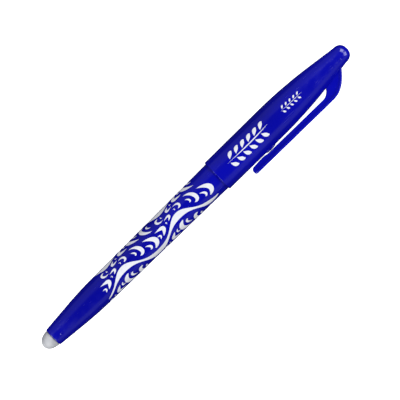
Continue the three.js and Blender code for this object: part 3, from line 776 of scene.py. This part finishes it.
# %% Loft rings into a skin
def lofted(name, rings, material):
    count, around = rings.shape[:2]
    points = np.arange(count * around).reshape(count, around)
    corners = (points[:-1], np.roll(points, -1, 1)[:-1], np.roll(points, -1, 1)[1:], points[1:])
    faces = np.stack(corners, axis=2).reshape(-1, 4).tolist()
    faces += [points[0, ::-1].tolist(), points[-1].tolist()]
    mesh = bpy.data.meshes.new(name)
    mesh.from_pydata((rings.reshape(-1, 3) * MM).tolist(), [], faces)
    mesh.shade_smooth()
    mesh.set_sharp_from_angle(angle=math.radians(40))
    mesh.materials.append(material)
    return in_scene(name, mesh)


# %% [markdown]
# ## The clip's side view
#
# From the side, the clip is a long arm that rises very slightly towards its root, bends over and
# runs down into the cap. Its outer face follows a straight line and then a cubic curve. Under
# the outer band runs a narrower rib. The rib's face is flat, with a small pad near the tip that
# presses cloth against the cap. Near the root the rib sweeps down in an arch and sinks into the
# cap's wall.

# %% Heights along the clip
TIP, PAD, SPLIT, BEND, HEEL = 90.8, 96.1, 124.2, 126.8, 136.0
BAND, DEPTH, TIP_REACH = 0.85, 2.45, 8.95
HALF, RIB_HALF, HEEL_NARROWING, TIP_ROUND = 2.3, 1.3, 0.8, 1.2

share = np.linspace(0, 1, 60)[:, None]
handles = [(BEND, CLIP_REACH), (130.57, CLIP_REACH), (133.24, 7.0), (HEEL, cap_r(HEEL))]
weights = [(1 - share) ** 3, 3 * share * (1 - share) ** 2, 3 * share**2 * (1 - share), share**3]
heel = sum(weight * np.array(handle) for weight, handle in zip(weights, handles))
heel = np.vstack([heel, heel[-1] + (heel[-1] - heel[-2]) / (heel[-1] - heel[-2])[0] * 1.2])


def face_height(s):
    straight = TIP_REACH + (CLIP_REACH - TIP_REACH) * (s - TIP) / (SPLIT - TIP)
    return np.where(s < BEND, np.minimum(straight, CLIP_REACH), np.interp(s, *heel.T))


def rib_height(s):
    level = face_height(np.minimum(s, SPLIT)) - DEPTH
    pad = np.interp(s, [TIP, PAD - 1, PAD + 1, PAD + 2.3], [0, 1, 1, 0])
    level = level + (CAP_R + 0.2 - level) * pad
    arch = curve((SPLIT, CLIP_REACH - DEPTH), (126.4, 6.6), (127.5, cap_r(127.5)), 16)
    sunk = np.array([(128.0, cap_r(128.0) - 0.6), (137.5, cap_r(137.5) - 0.6)])
    return np.where(s < SPLIT, level, np.interp(s, *np.vstack([arch, sunk]).T))


print("gap under the arm, mm:", float(rib_height(np.array(110.0))) - cap_r(110.0))

# %% [markdown]
# ## The clip's cross-section
#
# Seen along the pen, the clip is a T: a wide band with rounded edges over a narrow rib. One
# ring of the loft is one such T. The tip is rounded in three ways at once: the band narrows in
# plan, the outer face curves down, and the rib's face curves up.
#
# The clip is one moulding with the cap but its arm flexes. Here the arm and the root are one
# lofted piece in the place of the engineering clip, and it rides on no body.


# %% Clip
def corner(z, height, dz, dh, round_r, steps=4):
    """A rounded corner at (z, height), from the side that lies at dz to the one that lies at dh."""
    turn = np.linspace(0, math.pi / 2, steps + 1)
    return [
        (z + dz * round_r * (1 - math.sin(t)), height + dh * round_r * (1 - math.cos(t)))
        for t in turn
    ]


def tip_round(s, radius):
    """How much a corner rounded to `radius` takes off at the station `s`."""
    return radius - math.sqrt(max(radius**2 - max(radius - (s - TIP), 0) ** 2, 0))


def clip_ring(s, ahead=0.01):
    half = HALF - tip_round(s, TIP_ROUND) - HEEL_NARROWING * max((s - BEND) / (HEEL - BEND), 0) ** 2
    face, next_face = (float(face_height(np.array(place))) for place in (s, s + ahead))
    under = face - BAND * math.hypot(1, (next_face - face) / ahead)
    face -= tip_round(s, BAND)
    rib = min(float(rib_height(np.array(s))) + tip_round(s, TIP_ROUND), under - 0.15)
    rib_half = min(RIB_HALF, half - 0.02)
    edge = min(0.4, (face - under) / 2.1, half / 2)
    fold = min(0.25, (half - rib_half) / 2.1)
    foot = min(0.3, (under - rib) / 2.5)
    side = corner(half, face, -1, -1, edge) + corner(half, under, -1, 1, edge)[::-1]
    side += corner(rib_half, under, 1, -1, fold) + corner(rib_half, rib, -1, 1, foot)[::-1]
    ring = side + [(-z, height) for z, height in reversed(side)]
    return [(s - LENGTH / 2, AXIS_Y - height, AXIS_Z + z) for z, height in ring]


tip_stations = TIP + TIP_ROUND * (1 - np.cos(np.linspace(0.12, math.pi / 2, 12)))
body_stations = np.linspace(TIP + 1.3, SPLIT - 0.5, 90)
root_stations = np.linspace(SPLIT - 0.3, HEEL + 1.2, 90)
stations = np.concatenate([tip_stations, body_stations, root_stations])
clip = lofted("clip_and_root", np.array([clip_ring(s) for s in stations]), BLUE_GLOSS)
level = (AXIS_Y - CLIP_REACH) * MM
start, end = ((x_at(station), level, AXIS_Z * MM) for station in (SPLIT + 1.6, SPLIT - 14))
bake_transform(clip)
ready(clip, "blue_gloss", None, "clip")

# %% [markdown]
# ## Mounds: the bump under the clip, and the gate marks
#
# A low oval bump stands on the cap a little past the clip's pad. Cloth is pinched between it and
# the arm. Two tiny round marks show where the plastic was let into the mould, one near the
# barrel's tail and one on the cap's end. All three are mounds: rings that shrink from a foot
# inside the wall to a small crown, laid over the round surface and then turned to their side.


# %% Mounds on a round surface
def mound(name, station, toward, size, radius_at, body):
    """A mound of `size` (half-length, half-width, height), on the side at the angle `toward`."""
    around = np.linspace(2 * math.pi, 0, 33)[:-1]
    rings = []
    for rise in np.linspace(-0.25, 1, 14):
        reach = math.sqrt(1 - min(max(rise, 0), 0.999) ** 2) * (1 - 0.1 * min(rise, 0))
        along = size[0] * reach * np.cos(around)
        aside = size[1] * reach * np.sin(around)
        radius = np.array([radius_at(station + step) for step in along])
        height = np.sqrt(radius**2 - aside**2) + size[2] * rise
        y = height * math.cos(toward) - aside * math.sin(toward)
        z = height * math.sin(toward) + aside * math.cos(toward)
        rings.append(np.stack([station - LENGTH / 2 + along, AXIS_Y + y, AXIS_Z + z], axis=1))
    ready(lofted(name, np.array(rings), BLUE_GLOSS), "blue_gloss", body)


def tail_r(station):
    return TAIL_R + (WAIST_R - TAIL_R) * (station - TAIL) / (WAIST - TAIL)


mound("cap_bump", 100.4, math.pi, (2.15, 1.6, 0.42), cap_r, "cap")
mound("barrel_gate", 7.3, 1.85, (0.42, 0.42, 0.1), tail_r, "barrel")
mound("cap_gate", 137.6, 1.95, (0.4, 0.4, 0.1), cap_r, "cap")

# %% [markdown]
# ## The print on the cap
#
# Two small sprigs of leaves are printed on the cap, in the same ink as the barrel's pattern. Each
# is a stem with a leaf on either side of it, again and again.


# %% Cap prints
def leaf(x, y, heading, length, first_bend, last_bend, half, steps=36):
    """A stroke that bends more and more, in radians for each millimetre."""
    share = np.linspace(0, 1, steps)
    step = length / (steps - 1)
    bend = first_bend + (last_bend - first_bend) * share**1.5
    way = math.radians(heading) + np.cumsum(bend) * step
    x = x + np.cumsum(np.cos(way)) * step
    y = y + np.cumsum(np.sin(way)) * step
    return np.stack([x, y, tapered(half, share)], axis=1)


def sprig(length, pairs, size):
    stem = leaf(0, 0, 3, length, -0.004, -0.012, 0.16 * size)
    strokes = [stem]
    long, off, half = 2.7 * size, 0.42 * size, 0.6 * size
    for i in range(pairs):
        x = length * (0.5 + i) / (pairs + 0.6)
        y = float(np.interp(x, stem[:, 0], stem[:, 1]))
        strokes.append(leaf(x, y + off, 66, long, -0.1, -0.6 / size, half))
        strokes.append(leaf(x + 0.6 * size, y - off, -58, long, 0.1, 0.6 / size, half))
    return strokes


def print_sprig(name, span, pairs, size):
    girth = 2 * math.pi * CAP_R
    strokes = [rows + (0, girth / 4 - 0.5, 0) for rows in sprig(span[1] - span[0], pairs, size)]
    print_on(name, strokes, span, girth, cap_r, 7, "cap")


print_sprig("cap_print", (86.0, 104.5), 6, 1.12)
print_sprig("cap_print_small", (111.0, 120.5), 5, 0.52)

# %% [markdown]
# ## The grip section
#
# Under the cap, a satin blue section carries the point. From the rear it has a spigot for the
# thread, a collar with a bead that the cap snaps over, a seat for the rubber grip, and a nose
# that narrows to the writing tip. The refill's bore runs through it and steps down at the front.

# %% Grip section
COLLAR, BEAD, SEAT, NOSE, NOSE_TIP = 82.1, 83.9, 85.7, 113.9, 126.1
SPIGOT_R, COLLAR_R, BEAD_R, SEAT_R, NOSE_R, NOSE_TIP_R = 4.2, 5.0, 5.08, 3.95, 4.5, 1.6
HOLDER_STEP, TIP_STEP, HOLDER_BORE_R, TIP_BORE_R = 107.2, 120.2, 2.55, 1.23

section_wall = rounded([
    (THREAD_REAR, CUP_R), (THREAD_REAR, SPIGOT_R, 0.15), (COLLAR, SPIGOT_R),
    (COLLAR, COLLAR_R, 0.12), (BEAD - 0.5, COLLAR_R, 0.1), (BEAD, BEAD_R, 0.15),
    (BEAD + 0.5, COLLAR_R, 0.1), (SEAT, COLLAR_R, 0.15), (SEAT, SEAT_R), (NOSE, SEAT_R),
    (NOSE, NOSE_R, 0.2), (NOSE_TIP, NOSE_TIP_R, 0.15), (NOSE_TIP, TIP_BORE_R, 0.08),
    (TIP_STEP, TIP_BORE_R), (TIP_STEP, 1.75), (TIP_STEP - 3, HOLDER_BORE_R),
    (HOLDER_STEP, HOLDER_BORE_R), (HOLDER_STEP, CUP_R), (THREAD_REAR, CUP_R),
])
turned_piece("grip_section", section_wall, BLUE_SATIN, "blue_satin", "section")

# %% [markdown]
# ## The rubber grip
#
# The sleeve is a soft tube that is thicker at the rear. Seven shallow grooves give the fingers
# hold. Each is a smooth dip, half a cosine wide, so it catches the light softly.


# %% Grip sleeve
SLEEVE_REAR, SLEEVE_FRONT, SLEEVE_BORE_R = SEAT + 0.1, NOSE - 0.1, SEAT_R + 0.08
GROOVE_STEP, GROOVE_HALF, GROOVE_DEPTH = 2.8, 0.6, 0.25


def sleeve_r(station):
    from_rear, length = station - SLEEVE_REAR, SLEEVE_FRONT - SLEEVE_REAR
    taper = 4.9 - 0.3 * from_rear / length
    for i in range(-3, 4):
        away = min(abs(from_rear - length / 2 - GROOVE_STEP * i) / GROOVE_HALF, 1)
        taper -= GROOVE_DEPTH * (0.5 + 0.5 * math.cos(math.pi * away))
    return taper


outer = np.linspace(SLEEVE_REAR + 0.2, SLEEVE_FRONT - 0.2, 160)
sleeve = [(SLEEVE_REAR, SLEEVE_BORE_R), (SLEEVE_REAR, 4.7)]
sleeve += [(station, sleeve_r(station)) for station in outer]
sleeve += [(SLEEVE_FRONT, 4.4), (SLEEVE_FRONT, SLEEVE_BORE_R), (SLEEVE_REAR, SLEEVE_BORE_R)]
turned_piece("grip_sleeve", sleeve, GRIP_RUBBER, "grip_rubber", "section", 96)

# %% [markdown]
# ## The inner cap
#
# A milky liner sits in the cap's end. Its mouth closes round the section's nose and keeps the
# ink from drying. It follows the taper of the cap with a small gap.

# %% Inner cap
LINER_MOUTH, LINER_END, LINER_GAP, LINER_WALL = 117.4, 132.0, 0.08, 0.7
roof = LINER_END - 0.9
outside = cap_line(LINER_MOUTH, LINER_END, CAP_WALL + LINER_GAP, 16)
inside = cap_line(roof, LINER_MOUTH + 1.2, CAP_WALL + LINER_GAP + LINER_WALL, 16)
nose_share = (LINER_MOUTH - NOSE) / (NOSE_TIP - NOSE)
mouth_r = NOSE_R - (NOSE_R - NOSE_TIP_R) * nose_share + 0.15
liner = [(LINER_MOUTH, mouth_r), *outside, (LINER_END, 0), (roof, 0), *inside]
liner += [(LINER_MOUTH + 0.6, mouth_r), (LINER_MOUTH, mouth_r)]
turned_piece("inner_cap", liner, MILKY, "milky_plastic", "liner", 96)

# %% [markdown]
# ## The refill
#
# The refill is a milky tube with a vented plug at its tail and a holder for the tip at its
# front. Inside are the ink and the plug of grease that follows it. The ink gets shorter as the
# grease moves forward.

# %% Refill tube, plug and holder
REAR_END, FRONT_END = 19.1, 105.4
TUBE_R, TUBE_BORE_R, FILL_R = 3.0, 2.3, 2.22

tube = rounded([
    (REAR_END, TUBE_BORE_R), (REAR_END, TUBE_R, 0.1), (FRONT_END, TUBE_R, 0.1),
    (FRONT_END, TUBE_BORE_R), (REAR_END, TUBE_BORE_R),
])
turned_piece("refill_tube", tube, MILKY, "milky_plastic", "refill", 64)

plug = rounded([
    (18.0, 0.5), (18.0, TUBE_R, 0.15), (19.0, TUBE_R, 0.1), (19.0, FILL_R),
    (23.0, FILL_R, 0.2), (23.0, 0.5), (18.0, 0.5),
])
turned_piece("refill_tail_plug", plug, MILKY, "milky_plastic", "refill", 64)

holder = rounded([
    (98.5, 1.2), (98.5, FILL_R, 0.15), (105.5, FILL_R), (105.5, TUBE_R, 0.1),
    (107.1, TUBE_R, 0.1), (107.1, 2.4), (117.1, 2.4, 0.2), (120.1, 1.6, 0.1),
    (120.1, 0.98), (116.1, 0.98), (116.1, 1.2), (98.5, 1.2),
])
turned_piece("tip_holder", holder, MILKY, "milky_plastic", "refill", 64)

# %% [markdown]
# ## Ink and grease
#
# Liquids in a tube end in a meniscus: the surface climbs a little at the wall. The grease plug
# is a cylinder with hollow ends, and the ink behind the tip is a longer one.


# %% Ink and follower
def slug(rear, front, radius, hollow):
    rings = np.linspace(0, 1, 8)
    back = [(rear + hollow * (1 - share**2), radius * share) for share in rings]
    ahead = [(front - hollow * (1 - share**2), radius * share) for share in rings[::-1]]
    return back + ahead


grease = turned("follower", slug(29.0, 34.0, FILL_R, 0.3), GREASE, 64)
ready(grease, "follower_grease", "follower", "follower")
INK_FRONT = 98.4
ink = turned("ink_column", slug(34.1, INK_FRONT, FILL_R, 0.0), INK, 64)
ready(ink, "ink_blue", "refill", "ink_column")
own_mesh(ink)

# %% [markdown]
# ## The writing tip
#
# The tip is turned from steel: a shank that presses into the holder, a shoulder, and a cone
# whose mouth is crimped over the ball. The ball is 0.7 mm across and hard carbide. A spring finer
# than a hair holds it against the mouth. The spring is made by the lathe tree too: the outline is
# the wire's round section, and the pitch carries it forward nine times.

# %% Tip, ball and spring
SOCKET_R, BALL_R, BALL, CRIMP = 0.37, 0.35, 128.55, 128.7
mouth_turn = math.acos((CRIMP - BALL) / SOCKET_R)
socket = [
    (BALL + SOCKET_R * math.cos(turn), SOCKET_R * math.sin(turn))
    for turn in np.linspace(mouth_turn, math.pi - math.asin(0.2 / SOCKET_R), 8)
]
tip = rounded([
    (116.2, 0.38), (116.2, 0.9, 0.08), (120.2, 0.9), (120.2, 1.15, 0.05),
    (126.3, 1.15, 0.3), (CRIMP, socket[0][1] + 0.1, 0.03), (CRIMP, socket[0][1]),
]).tolist()
tip += socket[1:] + [(127.489, 0.2), (127.489, 0.55), (116.75, 0.55), (116.2, 0.38)]
turned_piece("writing_tip", tip, STEEL, "tip_steel", "refill", 64)

half_turn = np.linspace(0, math.pi, 17)
ball = [(BALL - BALL_R * math.cos(turn), BALL_R * abs(math.sin(turn))) for turn in half_turn]
ball[0], ball[-1] = (BALL - BALL_R, 0), (BALL + BALL_R, 0)
turned_piece("ball", ball, CARBIDE, "ball_carbide", "ball", 32)

SPRING, COIL_R, WIRE_R = 116.95, 0.4, 0.07
wire = [
    (SPRING - WIRE_R * math.cos(turn), COIL_R + WIRE_R * math.sin(turn))
    for turn in np.linspace(0, 2 * math.pi, 9)
]
coils = {"Turns": 9.0, "Pitch": 1.105 * MM, "Run-out": 0.02}
coils |= {"Foot station": x_at(SPRING), "Foot radius": COIL_R * MM}
spring = turned("tip_spring", wire, STEEL, 200, **coils)
ready(spring, "tip_steel", "refill", "tip_spring")

# %% [markdown]
# ## The studio
#
# The pen lies on a plain white floor under soft light. The floor glows, so that no shadow falls
# on it, and it is hidden from the pen, so that it isn't mirrored there. Four soft lamps stand
# beyond the pen's two ends. A lamp there lights the colour of the plastic but is not mirrored by
# the long round sides. Two long, dim panels beside the pen are mirrored, and they draw the two
# soft streaks either side of a darker middle line.

# %% Floor and lights
FLOOR_HALF = 3.0


def soft_lamp(name, place, size, length, power):
    light = bpy.data.lights.new(name, "AREA")
    light.shape, light.size, light.size_y, light.energy = "RECTANGLE", size, length, power
    lamp = in_scene(name, light)
    lamp.location = place
    lamp.rotation_euler = (-lamp.location).to_track_quat("-Z", "Y").to_euler()


def pale_floor():
    finish = Finish("Pale floor", IOR=1.3)
    finish.shader.inputs["Emission Strength"].default_value = 1.0
    grain = finish.noise(0.05, 3.0)
    colour = finish.blend(grain, (0.90, 0.90, 0.90), (0.93, 0.93, 0.93))
    finish.set(Base_Color=colour, Roughness=0.7 + 0.2 * grain, Emission_Color=colour)
    corners = [(x * FLOOR_HALF, y * FLOOR_HALF, 0) for x, y in ((-1, -1), (1, -1), (1, 1), (-1, 1))]
    mesh = bpy.data.meshes.new("floor")
    mesh.from_pydata(corners, [], [(0, 1, 2, 3)])
    mesh.materials.append(finish.material)
    floor = in_scene("floor", mesh)
    floor.visible_glossy = False
    floor.visible_diffuse = False
    return floor


pale_floor()
for end in (-1, 1):
    soft_lamp(f"end lamp, clip side, {end}", (0.38 * end, -0.22, 0.26), 0.3, 0.3, 1.7)
    soft_lamp(f"end lamp, far side, {end}", (0.38 * end, 0.17, 0.3), 0.3, 0.3, 1.7)
soft_lamp("panel beside the clip", (0, -0.24, 0.09), 0.7, 0.17, 0.09)
soft_lamp("panel across", (0, 0.22, 0.125), 0.7, 0.3, 0.115)

world = bpy.data.worlds.new("studio")
world.use_nodes = True
world.node_tree.nodes["Background"].inputs["Color"].default_value = (0.03, 0.03, 0.035, 1)
bpy.context.scene.world = world
bpy.context.scene.view_settings.view_transform = "Standard"
print("lamps:", len(bpy.data.lights))

# %% [markdown]
# ## The camera
#
# The camera looks straight down from far away through a long lens, so the pen is seen with
# almost no perspective. It is turned so that the pen runs from the lower left to the upper right,
# 44.55 degrees from level. The middle of the view is a little off the middle of the pen.

# %% Camera
TILT = math.radians(44.55)
VIEW, DISTANCE = 133.5 * MM, 1.6
SHIFT_RIGHT, SHIFT_DOWN = 1.57, 0.87
camera_data = bpy.data.cameras.new("camera")
camera_data.lens = camera_data.sensor_width * DISTANCE / VIEW
camera = in_scene("camera", camera_data)
right = np.array([math.cos(TILT), -math.sin(TILT)])
up = np.array([math.sin(TILT), math.cos(TILT)])
middle = np.array([0, AXIS_Y]) + SHIFT_RIGHT * right - SHIFT_DOWN * up
camera.location = (*(middle * MM), DISTANCE + AXIS_Z * MM)
camera.rotation_euler = (0, 0, -TILT)
bpy.context.scene.camera = camera
print("lens, mm:", round(camera_data.lens, 1))

# %% Finish
bpy.context.view_layer.update()
